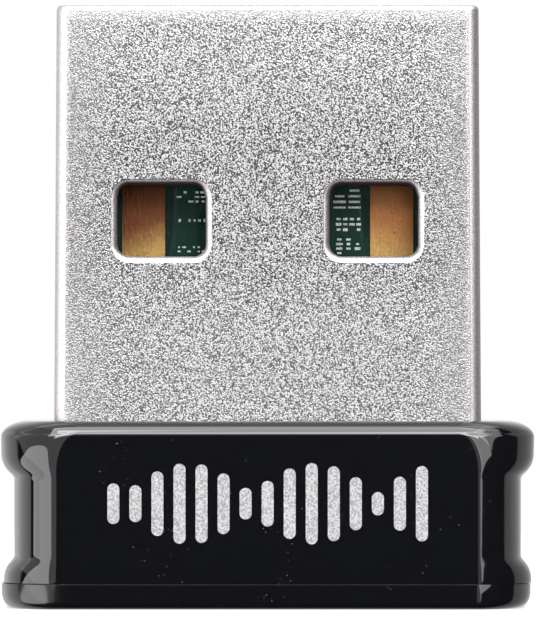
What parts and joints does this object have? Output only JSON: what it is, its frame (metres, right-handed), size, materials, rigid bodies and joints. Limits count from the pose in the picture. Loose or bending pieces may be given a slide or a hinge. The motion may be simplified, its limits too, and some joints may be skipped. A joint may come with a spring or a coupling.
{
  "type": "usb wireless adapter",
  "caption": "Miniature wireless adapter with a folded metal plug, punched windows, plated contacts on a board, and a short waisted gloss housing.",
  "frame": {"origin": "middle of the end cap's outer face, which the adapter stands on", "axes": "+Z towards the plug's tip, -Y the contact side and printed front, +X to the right in the picture"},
  "size_m": [0.0152, 0.0072, 0.017],
  "materials": {
    "plated_steel": "fine-grained bright plating",
    "gloss_black_plastic": "polished black",
    "carrier_plastic": "off-white moulded",
    "green_board": "green solder mask",
    "gold_plating": "gold plated",
    "masked_copper": "copper under green solder mask",
    "solder": "bright solder",
    "black_resin": "moulded resin",
    "tan_ceramic": "ceramic with plated ends",
    "dark_ferrite": "dark sintered",
    "nickel_lid": "nickel lid"
  },
  "bodies": {
    "root": {"metal_shell": "plated_steel", "housing_body": "gloss_black_plastic", "end_cap": "gloss_black_plastic", "board_carrier": "carrier_plastic", "circuit_board": "green_board", "contact_supply": "gold_plating", "contact_data_minus": "gold_plating", "contact_data_plus": "gold_plating", "contact_ground": "gold_plating", "trace_antenna": "masked_copper", "shell_solder_left": "solder", "shell_solder_right": "solder", "radio_chip": "black_resin", "crystal": "nickel_lid", "supply_capacitor": "tan_ceramic", "ferrite_bead": "dark_ferrite", "matching_inductor": "dark_ferrite", "capacitor_1": "tan_ceramic", "capacitor_2": "tan_ceramic", "capacitor_3": "tan_ceramic", "capacitor_4": "tan_ceramic", "capacitor_5": "tan_ceramic", "capacitor_6": "tan_ceramic", "resistor_1": "black_resin", "resistor_2": "black_resin"}
  },
  "joints": []
}
